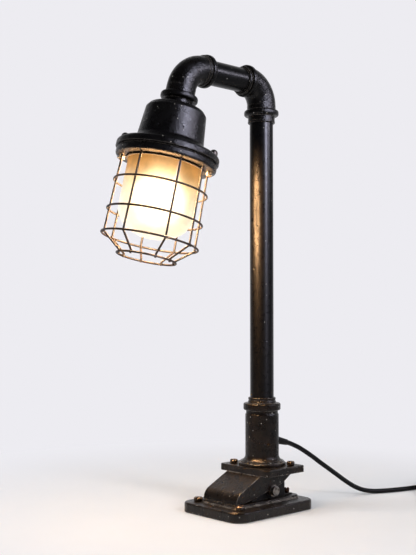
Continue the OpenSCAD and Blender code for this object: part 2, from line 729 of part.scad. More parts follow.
// Threaded shell that takes the bulb, and the centre contact that meets the bulb's tip
module holder_shell() color(BRASS) head_turned() {
    translate([screw_r + 0.3, 69]) square([0.9, 25]);
    translate([screw_r - 3, 68.2]) square([4.2, 0.9]);
    translate([0, 66.1]) square([5.8, 1.6]);
    translate([0, 67]) square([2, bulb_tip - 0.1 - 67]);
}

module bulb_base() color(BRASS) head_turned() difference() {
    union() {
        translate([0, bulb_tip]) square([4.6, 2]);
        polygon([[0, bulb_tip + 1.4], [5, bulb_tip + 1.4], [screw_r, bulb_tip + 5], [screw_r, bulb_neck], [0, bulb_neck]]);
    }
    translate([-60, 0]) square([60, 200]);
    translate([-1, bulb_tip + 9]) square([screw_r, 60]);
    for (i = [0 : 4]) translate([screw_r + 0.35, bulb_tip + 8 + 3.6 * i]) circle(0.9, $fn = 16);
}

// Globe with a neck that swells into a ball
module bulb_globe() color(LIT, 0.9) head_turned() difference() {
    globe_section(globe_r, screw_r - 1.2);
    globe_section(globe_r - 1, screw_r - 2.2);
    translate([-60, 0]) square([60, 300]);
}

module globe_section(r, neck) polygon(concat([[0, bulb_neck - 6], [neck, bulb_neck - 6], [neck, bulb_neck + 2]],
    arc([0, globe_at], r, -52, 90, 24)));

// Glass stem with its flare in the neck, and a ring of filament carried on it
module bulb_stem() color(GLASS, 0.5) head_turned() polygon([[0, bulb_neck - 5], [screw_r - 2.3, bulb_neck - 5],
    [screw_r - 2.8, bulb_neck - 4], [6, bulb_neck - 1], [4, bulb_neck + 4], [2, bulb_neck + 12],
    [stem_r, globe_at - 12], [stem_r, globe_at + 2], [0, globe_at + 3]]);

stem_r = 1.5;

module bulb_filament() color(LIT) on_head() translate([0, 0, -globe_at]) {
    rotate_extrude() translate([10, 0]) circle(0.6, $fn = 16);
    for (a = [0 : 90 : 270]) rotate([0, 90, a]) translate([0, 0, stem_r + 0.1])
        cylinder(r = 0.4, h = 10 - stem_r - 0.3, $fn = 16);
}

module lead_head() color(RUBBER) translate([head_x, 0, arm_z]) rotate([head_roll, 0, 0])
    swept_tube(concat([[lead_split - head_x, 0, 0]],
        [for (a = [0 : 10 : head_turn]) head_arc(a)],
        [for (s = [34, 50, 63]) [-s * sin(head_lean), 0, -s * cos(head_lean)]]),
        cord_r * 0.85, 8, [-1, 0, 0], [-sin(head_lean), 0, -cos(head_lean)], [0, 1, 0]);

// Points on the middle line of the head's bend
function head_arc(a) = [head_reach - head_bend_r * sin(a), 0, -head_bend_r * (1 - cos(a))];

// ---------------------------------------------------------------- cord, switch and plug

module cord_lead() color(RUBBER)
    swept_tube(concat([boot_tip], lead_route, [[coil_x, coil_y + coil_outer_r, coil_z]]),
        cord_r, 8, [cos(boot_drop), 0, -sin(boot_drop)], [1, 0, 0], [0, 0, 1]);

// The coil winds in on the table, climbs where its spiral turns back, and winds out on top
function coil_point(turn) =
    let (r = coil_inner_r + coil_pitch * abs(turn - coil_turns / 2),
        rise = min(1, max(0, (turn - coil_turns / 2) * 2 + 0.5)),
        a = 90 - 360 * turn)
    [coil_x + r * cos(a), coil_y + r * sin(a), coil_z + coil_pitch * rise];

coil_path = [for (i = [0 : coil_turns * coil_steps]) coil_point(i / coil_steps)];

// Least distance from any point of the coil to a stretch of it at least half a turn away
coil_gap = min([for (i = [0 : len(coil_path) - 1]) for (j = [i + coil_steps / 2 : 1 : len(coil_path) - 2])
    norm(coil_path[i] - (coil_path[j] + coil_path[j + 1]) / 2)]) - cord_d;
echo(coil_least_gap_mm = coil_gap);

module cord_coil() color(RUBBER) swept_tube(coil_path, cord_r, 6, [1, 0, 0], [-1, 0, 0], [0, 0, 1]);

// Strap tied round the coil's turns
module cord_tie() color(DARK) translate([coil_x, coil_y, 0]) rotate([0, 0, 8]) {
    inner = coil_inner_r - coil_pitch / 2 - 0.6;
    outer = coil_outer_r + cord_r + 0.8;
    high = coil_z + coil_pitch + cord_r + 0.4;
    translate([inner, 3, 0]) rotate([90, 0, 0]) linear_extrude(6) difference() {
        tie_outline(outer - inner, high + 0.6, 3);
        translate([0.6, 0.6]) tie_outline(outer - inner - 1.2, high - 0.6, 2.4);
    }
}

module tie_outline(w, h, r) {
    translate([r, 0]) square([w - 2 * r, h]);
    translate([0, r]) square([w, h - 2 * r]);
    for (x = [r, w - r], y = [r, h - r]) translate([x, y]) circle(r, $fn = 24);
}

module cord_tail() color(RUBBER)
    swept_tube([[coil_x, coil_y - coil_outer_r, coil_z + coil_pitch],
        [(coil_x * 2 + switch_x + switch_len / 2) / 3, switch_y, tail_z + 0.2], [switch_x + switch_len / 2, switch_y, tail_z]],
        cord_r, 8, [-1, 0, 0], [-1, 0, 0], [0, 0, 1]);

module cord_end() color(RUBBER)
    swept_tube(concat([[switch_x - switch_len / 2, switch_y, tail_z]], end_route,
        [[plug_x - plug_boot_len, plug_y, plug_z]]), cord_r, 8, [-1, 0, 0], [1, 0, 0], [0, 0, 1]);

// Outline of the switch in plan: a waisted lozenge with round ends
module switch_outline(inset) {
    r = switch_wid / 2 - inset;
    square([switch_len - 2 * switch_wid / 2, 2 * r], center = true);
    for (x = [-1, 1]) translate([x * (switch_len / 2 - switch_wid / 2), 0]) circle(r);
}

switch_split = 9;

module switch_shell(low, high, floor_low, floor_high) {
    difference() {
        translate([0, 0, low]) linear_extrude(high - low) switch_outline(0);
        translate([0, 0, low + floor_low]) linear_extrude(high - low - floor_low - floor_high) switch_outline(switch_wall);
    }
}

module switch_base() color(RUBBER) translate([switch_x, switch_y, 0]) difference() {
    switch_shell(0, switch_split, switch_wall, -1);
    for (s = [-1, 1]) translate([s * 20, 0, -1]) {
        cylinder(r = 1.4 + fit_gap, h = 20);
        cylinder(r = 2.6, h = 2.1);
    }
}

module switch_cover() color(RUBBER) translate([switch_x, switch_y, 0]) difference() {
    union() {
        switch_shell(switch_split, switch_h, -1, switch_wall);
        for (s = [-1, 1]) translate([s * 20, 0, switch_wall + 0.1]) cylinder(r = 3, h = switch_h - switch_wall - 0.2);
    }
    translate([-7.6, -5.6, switch_h - 4]) cube([15.2, 11.2, 8]);
    for (s = [-1, 1]) translate([s * 20, 0, -1]) cylinder(r = 1.4 + fit_gap, h = 10);
}

rocker_z = switch_h - 1.4;

module switch_rocker() color(DARK) translate([switch_x, switch_y, rocker_z]) rotate([90, 0, 0])
    linear_extrude(10.4, center = true) polygon([[-7, 1.2], [-5.5, -3.2], [5.5, -3.2], [7, 1.2], [6.6, 3.6], [0, 1.8], [-6.6, 1.4]]);

module switch_screws() color(STEEL) translate([switch_x, switch_y, 0]) for (s = [-1, 1])
    translate([s * 20, 0, 0.2]) {
        cylinder(r = 2.5, h = 0.9);
        cylinder(r = 1.4, h = 8);
    }

module plug_outline(inset) {
    r = 6 - inset;
    square([plug_len - 2 * inset, 14 - 2 * inset], center = true);
    for (s = [-1, 1]) translate([0, s * 7]) square([plug_len - 14, 12 - 2 * inset], center = true);
    for (x = [-1, 1], y = [-1, 1]) translate([x * (plug_len / 2 - 7), y * 7]) circle(r);
}

module plug_body() color(RUBBER) translate([plug_x + plug_len / 2, plug_y, 0]) difference() {
    translate([0, 0, plug_z - plug_h / 2]) linear_extrude(plug_h) plug_outline(0);
    for (y = [-1, 1]) translate([plug_len / 2 - plug_pin_root - 1, y * plug_pin_gap / 2, plug_z])
        rotate([0, 90, 0]) cylinder(r = plug_pin_d / 2 - 0.2 + fit_gap, h = 20);
}

module plug_boot() color(RUBBER) translate([plug_x - plug_boot_len, plug_y, plug_z]) rotate([0, 90, 0])
    cylinder(r1 = cord_r + 0.5, r2 = 5.2, h = plug_boot_len);

module plug_pins() color(STEEL) for (y = [-1, 1])
    translate([plug_x + plug_len - plug_pin_root, plug_y + y * plug_pin_gap / 2, plug_z]) rotate([0, 90, 0])
        rotate_extrude() difference() {
            union() {
                square([plug_pin_d / 2 - 0.2, plug_pin_root + 1]);
                translate([0, plug_pin_root + 0.3]) square([plug_pin_d / 2, plug_pin_len - 1.3]);
                translate([0, plug_pin_root + plug_pin_len - 1]) circle(plug_pin_d / 2);
            }
            translate([-9, -1]) square([9, 60]);
        }

// ---------------------------------------------------------------- the lamp

base_plate();
base_pad();
base_screws();
hinge_block();
block_screws();
hinge_pin();
pin_washers();
pin_clip();
tilt_bracket();
plate_screws();
coupling();
foot_locknut();
gland_nut();
cord_boot();
lead_lower();
column_pipe();
column_elbow();
arm_nipple();
lead_upper();
head_elbow();
head_nipple();
cap();
cap_locknut();
cage_ring();
flange_bolts();
flange_nuts();
cap_gasket();
glass_gasket();
glass_jar();
cage_ribs();
cage_hoops();
cage_end_hoop();
lampholder();
holder_shell();
bulb_base();
bulb_globe();
bulb_stem();
bulb_filament();
lead_head();
cord_lead();
cord_coil();
cord_tie();
cord_tail();
cord_end();
switch_base();
switch_cover();
switch_rocker();
switch_screws();
plug_body();
plug_boot();
plug_pins();
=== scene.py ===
# %% [markdown]
# # Industrial pipe table lamp
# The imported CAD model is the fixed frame: every iron casting, pipe and screw comes from it in
# metres, already in its place. This lesson adds the camera, the flexible lead, small welds and
# moulded ribs, the light, and a procedural material for every finish.

# %% Load the frame
import json
import math

import bmesh
import bpy
from mathutils import Matrix, Vector

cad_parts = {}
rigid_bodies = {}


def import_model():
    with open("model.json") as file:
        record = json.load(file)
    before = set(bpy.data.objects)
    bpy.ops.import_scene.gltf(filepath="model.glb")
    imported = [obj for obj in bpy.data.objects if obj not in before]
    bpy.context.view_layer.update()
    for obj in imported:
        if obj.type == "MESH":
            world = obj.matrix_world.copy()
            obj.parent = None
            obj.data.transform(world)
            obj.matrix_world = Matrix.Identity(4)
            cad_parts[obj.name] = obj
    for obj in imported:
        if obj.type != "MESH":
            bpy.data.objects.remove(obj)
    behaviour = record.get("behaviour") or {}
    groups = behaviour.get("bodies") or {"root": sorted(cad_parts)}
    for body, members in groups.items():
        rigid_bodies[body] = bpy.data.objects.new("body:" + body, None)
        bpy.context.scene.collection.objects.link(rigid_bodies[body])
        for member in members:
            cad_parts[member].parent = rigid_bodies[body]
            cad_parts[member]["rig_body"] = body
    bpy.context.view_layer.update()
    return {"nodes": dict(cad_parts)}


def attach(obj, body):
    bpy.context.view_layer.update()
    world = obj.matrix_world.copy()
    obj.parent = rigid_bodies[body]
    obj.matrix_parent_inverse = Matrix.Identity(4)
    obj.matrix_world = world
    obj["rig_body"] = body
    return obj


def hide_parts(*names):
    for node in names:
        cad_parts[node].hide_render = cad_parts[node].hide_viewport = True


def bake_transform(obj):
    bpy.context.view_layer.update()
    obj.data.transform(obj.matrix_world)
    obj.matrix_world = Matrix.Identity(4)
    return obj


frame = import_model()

nodes = frame["nodes"]
MM = 0.001

# %% [markdown]
# ## Camera
# The lamp was photographed from a low tripod with a short telephoto lens, looking a little up
# past the toe of the foot. Setting the focal length against the picture's height (sensor fit
# VERTICAL) keeps the same framing whatever the render's width is.

# %% Camera
def add_camera(place, heading, pitch, lens):
    """heading is measured from +Y towards +X, pitch upwards, both in degrees."""
    data = bpy.data.cameras.new("camera")
    data.sensor_fit = "VERTICAL"
    data.sensor_height = 36
    data.lens = lens
    data.clip_start = 0.01
    camera = bpy.data.objects.new("camera", data)
    bpy.context.scene.collection.objects.link(camera)
    a, p = math.radians(heading), math.radians(pitch)
    look = Vector((math.sin(a) * math.cos(p), math.cos(a) * math.cos(p), math.sin(p)))
    camera.location = place
    camera.rotation_euler = look.to_track_quat("-Z", "Y").to_euler()
    bpy.context.scene.camera = camera
    return camera


camera = add_camera((-0.7323, -0.7329, 0.2199), heading=42.5, pitch=2.1, lens=60)
AHEAD = (0.676, 0.737, 0.0)  # the camera's heading, as a direction along the floor
print("camera at", tuple(camera.location))

# %% [markdown]
# ## The lead's route
# A lamp lead is a two-core flex in a round rubber jacket. It leaves the column through a gland,
# falls to the table under its own weight and runs off to the switch and the plug. The spare
# length is wound up and tied. Its middle line is a list of points in millimetres, the same as in
# the CAD. A Catmull-Rom curve goes through every point, so the line is smooth and stays where the
# CAD solid is.

# %% Route helpers
def smooth_line(points, parts):
    """A Catmull-Rom curve through the points, with that many parts between two of them."""
    p = [Vector(q) for q in points]
    p = [p[0] * 2 - p[1]] + p + [p[-1] * 2 - p[-2]]
    line = []
    for i in range(1, len(p) - 2):
        a, b, c, d = p[i - 1 : i + 3]
        for k in range(parts):
            t = k / parts
            line.append(
                0.5 * (2 * b + (c - a) * t + (2 * a - 5 * b + 4 * c - d) * t**2
                       + (3 * b - a - 3 * c + d) * t**3)
            )
    return line + [p[-2]]


def line_length(line):
    return sum((b - a).length for a, b in zip(line, line[1:]))


# %% Points of the lead
CORD_D = 5.5 * MM
BOOT_TIP = Vector((62.391, 0, 68.629)) * MM
BOOT_START = Vector((56.57, 0, 70.08)) * MM
TO_TABLE = [(70, 0, 66.2), (82, -1, 61), (93, -2, 55), (104, -5, 47.5), (114, -8, 40),
            (124, -12, 32.5), (133, -17, 25), (142, -22, 17.5), (152, -27, 10.5), (163, -32, 5.5),
            (175, -38, 3.2), (188, -44, 2.8), (201, -49, 2.8), (215, -53.5, 2.8), (230, -57, 2.9),
            (244, -60, 3.1), (259, -61.2, 3.3)]
TO_SWITCH = [(266, -147, 9.2), (250, -147, 9), (248.6, -147, 9)]
TO_PLUG = [(195.4, -147, 9), (194, -147, 9), (187, -147, 8.8), (178.1, -145, 7.8),
           (170.9, -139.5, 6.2), (166.7, -131.4, 4.4), (166.3, -122.4, 3.2), (169.8, -114, 2.8),
           (176.5, -107.8, 2.8), (189, -100.6, 3.3), (202, -93.1, 6), (217.4, -84.2, 11.6),
           (228.5, -79.6, 16.2), (235, -78.4, 18.4), (241, -78, 19.5), (243, -78, 19.5)]
COIL_CENTRE = (274, -104)
COIL_TURNS, COIL_STEPS = 6.5, 24
COIL_INNER, COIL_PITCH, COIL_Z = 23, 6.1, 3.5


def coil_point(turn):
    """The coil winds in on the table, climbs where its spiral turns back, and winds out on top."""
    half = COIL_TURNS / 2
    r = COIL_INNER + COIL_PITCH * abs(turn - half)
    rise = min(1, max(0, (turn - half) * 2 + 0.5))
    a = math.radians(90 - 360 * turn)
    return (COIL_CENTRE[0] + r * math.cos(a), COIL_CENTRE[1] + r * math.sin(a),
            COIL_Z + COIL_PITCH * rise)


coil = [coil_point(i / COIL_STEPS) for i in range(int(COIL_TURNS * COIL_STEPS) + 1)]


def to_metres(points):
    return [Vector(p) * MM for p in points]


lead_line = smooth_line([BOOT_START, BOOT_TIP] + to_metres(TO_TABLE + coil + TO_SWITCH), 3)
end_line = smooth_line(to_metres(TO_PLUG), 4)
print("lead %.3f m, end %.3f m" % (line_length(lead_line), line_length(end_line)))

# %% [markdown]
# ## Sweeping a tube
# A curve object with a bevel would do for a plain lead, but a mesh can bend with a joint and can
# carry a UV map. The rings are turned as little as possible from one to the next, so the
# pattern of the jacket doesn't twist. The UV map says where a point is round the lead, and how
# many metres along it.

# %% Tube along a line
def add_piece(name, mesh):
    piece = bpy.data.objects.new(name, mesh)
    bpy.context.scene.collection.objects.link(piece)
    return piece


def piece_of(bm, name):
    mesh = bpy.data.meshes.new(name)
    bm.to_mesh(mesh)
    bm.free()
    return add_piece(name, mesh)


def skin(name, rings, along=None):
    """A closed piece through rings of points. along is how far each ring is down the line."""
    bm = bmesh.new()
    uv = bm.loops.layers.uv.new("along") if along else None
    rings = [[bm.verts.new(p) for p in ring] for ring in rings]
    count = len(rings[0])
    for i, (a, b) in enumerate(zip(rings, rings[1:])):
        for k in range(count):
            n = (k + 1) % count
            face = bm.faces.new((a[k], a[n], b[n], b[k]))
            face.smooth = True
            if along:
                corners = ((k, i), (k + 1, i), (k + 1, i + 1), (k, i + 1))
                for loop, (u, v) in zip(face.loops, corners):
                    loop[uv].uv = (u / count, along[v])
    bm.faces.new(rings[0][::-1])
    bm.faces.new(rings[-1])
    bmesh.ops.recalc_face_normals(bm, faces=bm.faces)
    return piece_of(bm, name)


def heading_at(line, i):
    return (line[min(i + 1, len(line) - 1)] - line[max(i - 1, 0)]).normalized()


def round_tube(name, line, radius, sides=16):
    corners = [(radius * math.cos(2 * math.pi * k / sides),
                radius * math.sin(2 * math.pi * k / sides)) for k in range(sides)]
    steep = abs((line[1] - line[0]).normalized().z) >= 0.9
    up = Vector((0, 1, 0)) if steep else Vector((0, 0, 1))
    rings, along = [], [0.0]
    for i, p in enumerate(line):
        t = heading_at(line, i)
        across = up.cross(t).normalized()
        up = t.cross(across).normalized()
        if i:
            along.append(along[-1] + (p - line[i - 1]).length)
        rings.append([p + across * x + up * z for x, z in corners])
    return skin(name, rings, along)


# %% [markdown]
# ## The lead and its far end
# The lead bends across the base's hinge down to the table. It is made as one still piece.

# %% Lead from the boot to the switch
lead = round_tube("lead_cord", lead_line, CORD_D / 2)
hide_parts("cord_lead", "cord_coil", "cord_tail")
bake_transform(lead)
print("lead declared:", round(line_length(lead_line), 2), "m")

# %% [markdown]
# ## Moulded ribs by Geometry Nodes
# The plug's sleeve has grip ribs, and the cage has a bead of weld wherever a rib meets a hoop.
# Both repeat by a rule, so each is one small shape set out by a node tree: a line of points is
# bent round an axis, the shape is placed on each point, and the copies are made real.

# %% Node helper
def add(tree, kind, inputs=None, **settings):
    """Adds one node: its settings, then its inputs, each a value or another node's output."""
    made = tree.nodes.new(kind)
    for key, value in settings.items():
        setattr(made, key, value)
    for key, value in (inputs or {}).items():
        if isinstance(value, bpy.types.NodeSocket):
            tree.links.new(value, made.inputs[key])
        else:
            made.inputs[key].default_value = value
    return made


# %% Start and end of a tree
def start_tree(name, sockets):
    """A geometry tree with these inputs and a material, and the outputs of its input node."""
    tree = bpy.data.node_groups.new(name, "GeometryNodeTree")
    tree.interface.new_socket("Geometry", in_out="OUTPUT", socket_type="NodeSocketGeometry")
    for title, kind, value in sockets:
        made = tree.interface.new_socket(title, in_out="INPUT", socket_type="NodeSocket" + kind)
        made.default_value = value
    tree.interface.new_socket("Material", in_out="INPUT", socket_type="NodeSocketMaterial")
    return tree, tree.nodes.new("NodeGroupInput").outputs


def end_tree(tree, mesh, material):
    """Shades the mesh smooth, gives it the material and hands it out."""
    soft = add(tree, "GeometryNodeSetShadeSmooth", {"Geometry": mesh}).outputs[0]
    done = add(tree, "GeometryNodeSetMaterial", {"Geometry": soft, "Material": material})
    tree.links.new(done.outputs[0], tree.nodes.new("NodeGroupOutput").inputs[0])
    return tree


# %% Tree for beads set out round an axis
def ring_of_beads_tree():
    """Beads on a circle about Z: Count beads from Turn, one of them moved by Drift."""
    tree, ins = start_tree("ring_of_beads", (
        ("Count", "Int", 8), ("Radius", "Float", 0.05), ("Depth", "Float", 0.1),
        ("Turn", "Float", 0.0), ("Odd one", "Int", 5), ("Drift", "Float", 0.0),
        ("Bead", "Float", 0.001), ("Seed", "Int", 4)))
    line = add(tree, "GeometryNodeMeshLine", {"Count": ins["Count"]})
    index = add(tree, "GeometryNodeInputIndex").outputs[0]
    share = add(tree, "ShaderNodeMath", {0: index, 1: ins["Count"]}, operation="DIVIDE").outputs[0]
    angle = add(tree, "ShaderNodeMath", {0: share, 1: 2 * math.pi, 2: ins["Turn"]},
                operation="MULTIPLY_ADD").outputs[0]
    odd = add(tree, "ShaderNodeMath", {0: index, 1: ins["Odd one"], 2: 0.1},
              operation="COMPARE").outputs[0]
    angle = add(tree, "ShaderNodeMath", {0: odd, 1: ins["Drift"], 2: angle},
                operation="MULTIPLY_ADD").outputs[0]
    parts = []
    for turn in ("COSINE", "SINE"):
        wave = add(tree, "ShaderNodeMath", {0: angle}, operation=turn).outputs[0]
        parts.append(add(tree, "ShaderNodeMath", {0: wave, 1: ins["Radius"]},
                         operation="MULTIPLY").outputs[0])
    low = add(tree, "ShaderNodeMath", {0: ins["Depth"], 1: -1.0}, operation="MULTIPLY").outputs[0]
    place = add(tree, "ShaderNodeCombineXYZ", {"X": parts[0], "Y": parts[1], "Z": low}).outputs[0]
    points = add(tree, "GeometryNodeSetPosition",
                 {"Geometry": line.outputs[0], "Position": place}).outputs[0]
    bead = add(tree, "GeometryNodeMeshIcoSphere", {"Radius": ins["Bead"], "Subdivisions": 2})
    size = add(tree, "FunctionNodeRandomValue",
               {"Min": (0.85, 0.85, 1.0), "Max": (1.15, 1.15, 1.45), "Seed": ins["Seed"]},
               data_type="FLOAT_VECTOR")
    copies = add(tree, "GeometryNodeInstanceOnPoints",
                 {"Points": points, "Instance": bead.outputs["Mesh"], "Scale": size.outputs[0]})
    real = add(tree, "GeometryNodeRealizeInstances", {"Geometry": copies.outputs[0]}).outputs[0]
    return end_tree(tree, real, ins["Material"])


def made_by_tree(name, tree, place, **inputs):
    """Runs the tree on an empty mesh and returns what it made as a plain mesh, set in place."""
    host = add_piece(name + "_host", bpy.data.meshes.new(name + "_host"))
    modifier = host.modifiers.new("tree", "NODES")
    modifier.node_group = tree
    for item in tree.interface.items_tree:
        title = item.name.lower().replace(" ", "_")
        if item.in_out == "INPUT" and title in inputs:
            modifier[item.identifier] = inputs[title]
    seen = host.evaluated_get(bpy.context.evaluated_depsgraph_get())
    mesh = bpy.data.meshes.new_from_object(seen)
    bpy.data.objects.remove(host)
    mesh.transform(place)
    print(name, len(mesh.polygons), "faces")
    return add_piece(name, mesh)


# %% [markdown]
# ## Finishes: colour and node helpers
# Colours are written as sRGB hex, as a colour picker gives them, and one function turns them
# into the linear numbers that a shader wants. Patterns read Object coordinates, which here are
# metres in the lamp's own frame, so a grain of 0.8 mm is a scale of 1 / 0.0008.

# %% Colour helper
def paint_colour(text):
    """sRGB hex to linear RGBA."""
    parts = [int(text[i : i + 2], 16) / 255 for i in (1, 3, 5)]
    linear = [c / 12.92 if c <= 0.04045 else ((c + 0.055) / 1.055) ** 2.4 for c in parts]
    return (*linear, 1.0)


# %% Material helpers
def start_material(name, plain=None):
    """An empty node material with its shader, whose plain values are by socket name."""
    material = bpy.data.materials.new(name)
    material.use_nodes = True
    tree = material.node_tree
    tree.nodes.clear()
    shader = add(tree, "ShaderNodeBsdfPrincipled", plain)
    add(tree, "ShaderNodeOutputMaterial", {"Surface": shader.outputs[0]})
    return material, tree, shader


def dress(tree, shader, colour, rough, height, depth_mm, strength=0.5, rounded=None):
    """Links the shader's colour, its roughness and a bump that is depth_mm deep."""
    shape = {"Height": height, "Distance": depth_mm * MM, "Strength": strength}
    if rounded:
        shape["Normal"] = rounded
    bump = add(tree, "ShaderNodeBump", shape).outputs[0]
    for socket, value in (("Base Color", colour), ("Roughness", rough), ("Normal", bump)):
        tree.links.new(value, shader.inputs[socket])


def surface(tree):
    """The socket of the material's output that takes a mix of shaders."""
    return tree.nodes["Material Output"].inputs["Surface"]


def noise_of(tree, size_mm, detail=3.0, roughness=0.55):
    """Noise in the lamp's own coordinates, whose lumps are about size_mm across."""
    place = add(tree, "ShaderNodeTexCoord").outputs["Object"]
    return add(tree, "ShaderNodeTexNoise",
               {"Vector": place, "Scale": 1 / (size_mm * MM), "Detail": detail,
                "Roughness": roughness}).outputs[0]


def clouds(tree, size_mm, detail, low, high, least=0.0, most=1.0):
    """Noise that is least where it is under low and most where it is over high."""
    return add(tree, "ShaderNodeMapRange",
               {"Value": noise_of(tree, size_mm, detail), "From Min": low, "From Max": high,
                "To Min": least, "To Max": most}, interpolation_type="SMOOTHSTEP").outputs[0]


def mottled(tree, size_mm, low, high, under, over, detail=4.0):
    """A cloudy mix of two hex colours, the second of them in the clouds."""
    return add(tree, "ShaderNodeMix",
               {0: clouds(tree, size_mm, detail, low, high), 6: paint_colour(under),
                7: paint_colour(over)}, data_type="RGBA").outputs[2]


# %% [markdown]
# ## Rubbed edges, a painted edge highlight, and specks
# Black paint on a handled casting wears first on its sharp edges, and a rounded edge catches a
# highlight: the pale edge colour is partly rubbed paint and partly a painted highlight. The Bevel
# node gives the normal that a rounded edge would have; where it differs from the true normal
# there is an edge.
# Old paint also holds small pale chips. A Voronoi texture has one random point in each cell;
# only the cells that draw a high random number keep a chip.

# %% Edge and chip masks
def edge_mask(tree, radius_mm, start=0.03, full=0.2):
    """1 on an edge, 0 on a face, by how far the bevelled normal leans from the true one."""
    rounded = add(tree, "ShaderNodeBevel", {"Radius": radius_mm * MM}, samples=4).outputs[0]
    true = add(tree, "ShaderNodeNewGeometry").outputs["True Normal"]
    same = add(tree, "ShaderNodeVectorMath", {0: rounded, 1: true}, operation="DOT_PRODUCT")
    lean = add(tree, "ShaderNodeMath", {0: 1.0, 1: same.outputs["Value"]}, operation="SUBTRACT")
    return add(tree, "ShaderNodeMapRange",
               {"Value": lean.outputs[0], "From Min": start, "From Max": full},
               interpolation_type="SMOOTHSTEP").outputs[0]


def chip_mask(tree, spacing_mm, size_mm, share, cover=1.0):
    """Small round-ish chips, spacing_mm apart, in that share of the cells."""
    place = add(tree, "ShaderNodeTexCoord").outputs["Object"]
    cells = add(tree, "ShaderNodeTexVoronoi", {"Vector": place, "Scale": 1 / (spacing_mm * MM)})
    reach = size_mm / spacing_mm / 2
    near = add(tree, "ShaderNodeMapRange",
               {"Value": cells.outputs["Distance"], "From Min": reach, "From Max": reach * 0.55,
                "To Max": cover}, interpolation_type="SMOOTHSTEP").outputs[0]
    drawn = add(tree, "ShaderNodeSeparateColor", {0: cells.outputs["Color"]}).outputs[0]
    kept = add(tree, "ShaderNodeMath", {0: drawn, 1: 1 - share}, operation="GREATER_THAN")
    return add(tree, "ShaderNodeMath", {0: near, 1: kept.outputs[0]},
               operation="MULTIPLY").outputs[0]


# %% [markdown]
# ## Black-painted cast iron
# The foot, bracket, coupling, elbows, cap and cage ring are sand castings under satin black
# paint. The sand leaves a fine grain and shallow dents, the paint pools a little, and edges and
# chips show greyer; the pale edges are partly rubbed paint and partly a painted highlight. A satin
# roughness near 0.3 gives soft highlights. The 1.6 mm grain is coarser than real sand, so that it
# shows in the picture.

# %% Painted iron
def painted_iron(name, dark, light, satin, gloss, dents, chips, edge_wear_and_highlight):
    """dents and chips are the shares of cells that hold one; edge_wear_and_highlight is how pale
    edges get, partly rubbed paint and partly a painted highlight.
    """
    material, tree, shader = start_material(name, {"Specular IOR Level": gloss})
    colour = mottled(tree, 22, 0.38, 0.66, dark, light)
    worn_and_lit_edges = add(tree, "ShaderNodeMath",
               {0: edge_mask(tree, 1.5), 1: clouds(tree, 5, 4.0, 0.36, 0.62, 0.15, edge_wear_and_highlight)},
               operation="MULTIPLY").outputs[0]
    # Pale edges, partly rubbed paint and partly a painted highlight, then pale chips
    for share, pale_colour in ((worn_and_lit_edges, "#a89e95"), (chip_mask(tree, 5.0, 1.3, chips, 0.9), "#c9c2ba")):
        colour = add(tree, "ShaderNodeMix", {0: share, 6: colour, 7: paint_colour(pale_colour)},
                     data_type="RGBA").outputs[2]
    rough = clouds(tree, 7, 3.0, 0.3, 0.7, satin - 0.05, satin + 0.07)
    height = add(tree, "ShaderNodeMath",
                 {0: chip_mask(tree, 6.0, 2.6, dents), 1: -1.6, 2: noise_of(tree, 1.6, 3.0, 0.6)},
                 operation="MULTIPLY_ADD").outputs[0]
    lumps = add(tree, "ShaderNodeMath", {0: noise_of(tree, 9, 2.0), 1: 1.6, 2: height},
                operation="MULTIPLY_ADD").outputs[0]
    rounded = add(tree, "ShaderNodeBevel", {"Radius": 1.3 * MM}, samples=6).outputs[0]
    dress(tree, shader, colour, rough, lumps, 0.38, 1.0, rounded)
    return material


CAST_IRON = painted_iron("black_painted_cast_iron", "#060505", "#0b0908", satin=0.3, gloss=0.27,
                         dents=0.5, chips=0.35, edge_wear_and_highlight=0.5)
# The foot's two colours are browner and lighter than the other castings': painted warm light from
# the bulb
BASE_IRON = painted_iron("worn_black_cast_iron", "#0e0a08", "#1c1410", satin=0.3, gloss=0.28,
                         dents=0.5, chips=0.5, edge_wear_and_highlight=0.9)
HOOD_IRON = painted_iron("satin_black_cast_cap", "#060506", "#0a0909", satin=0.3, gloss=0.28,
                         dents=0.4, chips=0.25, edge_wear_and_highlight=0.3)
HINGE_IRON = painted_iron("greasy_black_hinge_iron", "#070707", "#0b0a0a", satin=0.55, gloss=0.25,
                          dents=0.3, chips=0.1, edge_wear_and_highlight=0.15)
print("irons:", len(bpy.data.materials))

# %% [markdown]
# ## Lacquered steel pipe
# Gas pipe is drawn steel with a thin black lacquer. It is smoother than a casting, so the lamp's
# own light shows in it as a long warm streak. Small pits and a few pale specks break it up.

# %% Pipe
def lacquered_pipe(name):
    material, tree, shader = start_material(name, {"Specular IOR Level": 0.27})
    colour = add(tree, "ShaderNodeMix",
                 {0: chip_mask(tree, 8.5, 1.6, 0.35, 0.75),
                  6: mottled(tree, 30, 0.4, 0.68, "#060607", "#0c0b0b"),
                  7: paint_colour("#a5a19c")}, data_type="RGBA").outputs[2]
    rough = clouds(tree, 4, 3.0, 0.3, 0.7, 0.27, 0.33)
    height = add(tree, "ShaderNodeMath",
                 {0: chip_mask(tree, 10, 2.2, 0.45), 1: -3.0, 2: noise_of(tree, 1.6, 2.0)},
                 operation="MULTIPLY_ADD").outputs[0]
    dress(tree, shader, colour, rough, height, 0.06, 0.7)
    return material


PIPE = lacquered_pipe("black_lacquered_steel_pipe")

# %% [markdown]
# ## Bare and blackened steel, brass
# Pins, washers and nuts are turned or pressed steel. Metal takes its look from what it reflects,
# so the colour is the metal's own and the roughness varies in faint stains.

# %% Metals
def bare_metal(name, clean, stained, rough, stain_mm=3.0, stain_from=0.45):
    material, tree, shader = start_material(name, {"Metallic": 1.0})
    dress(tree, shader,
          mottled(tree, stain_mm, stain_from, stain_from + 0.2, clean, stained),
          clouds(tree, 1.5, 3.0, 0.3, 0.7, rough - 0.08, rough + 0.12),
          noise_of(tree, 0.6, 2.0), 0.04)
    return material


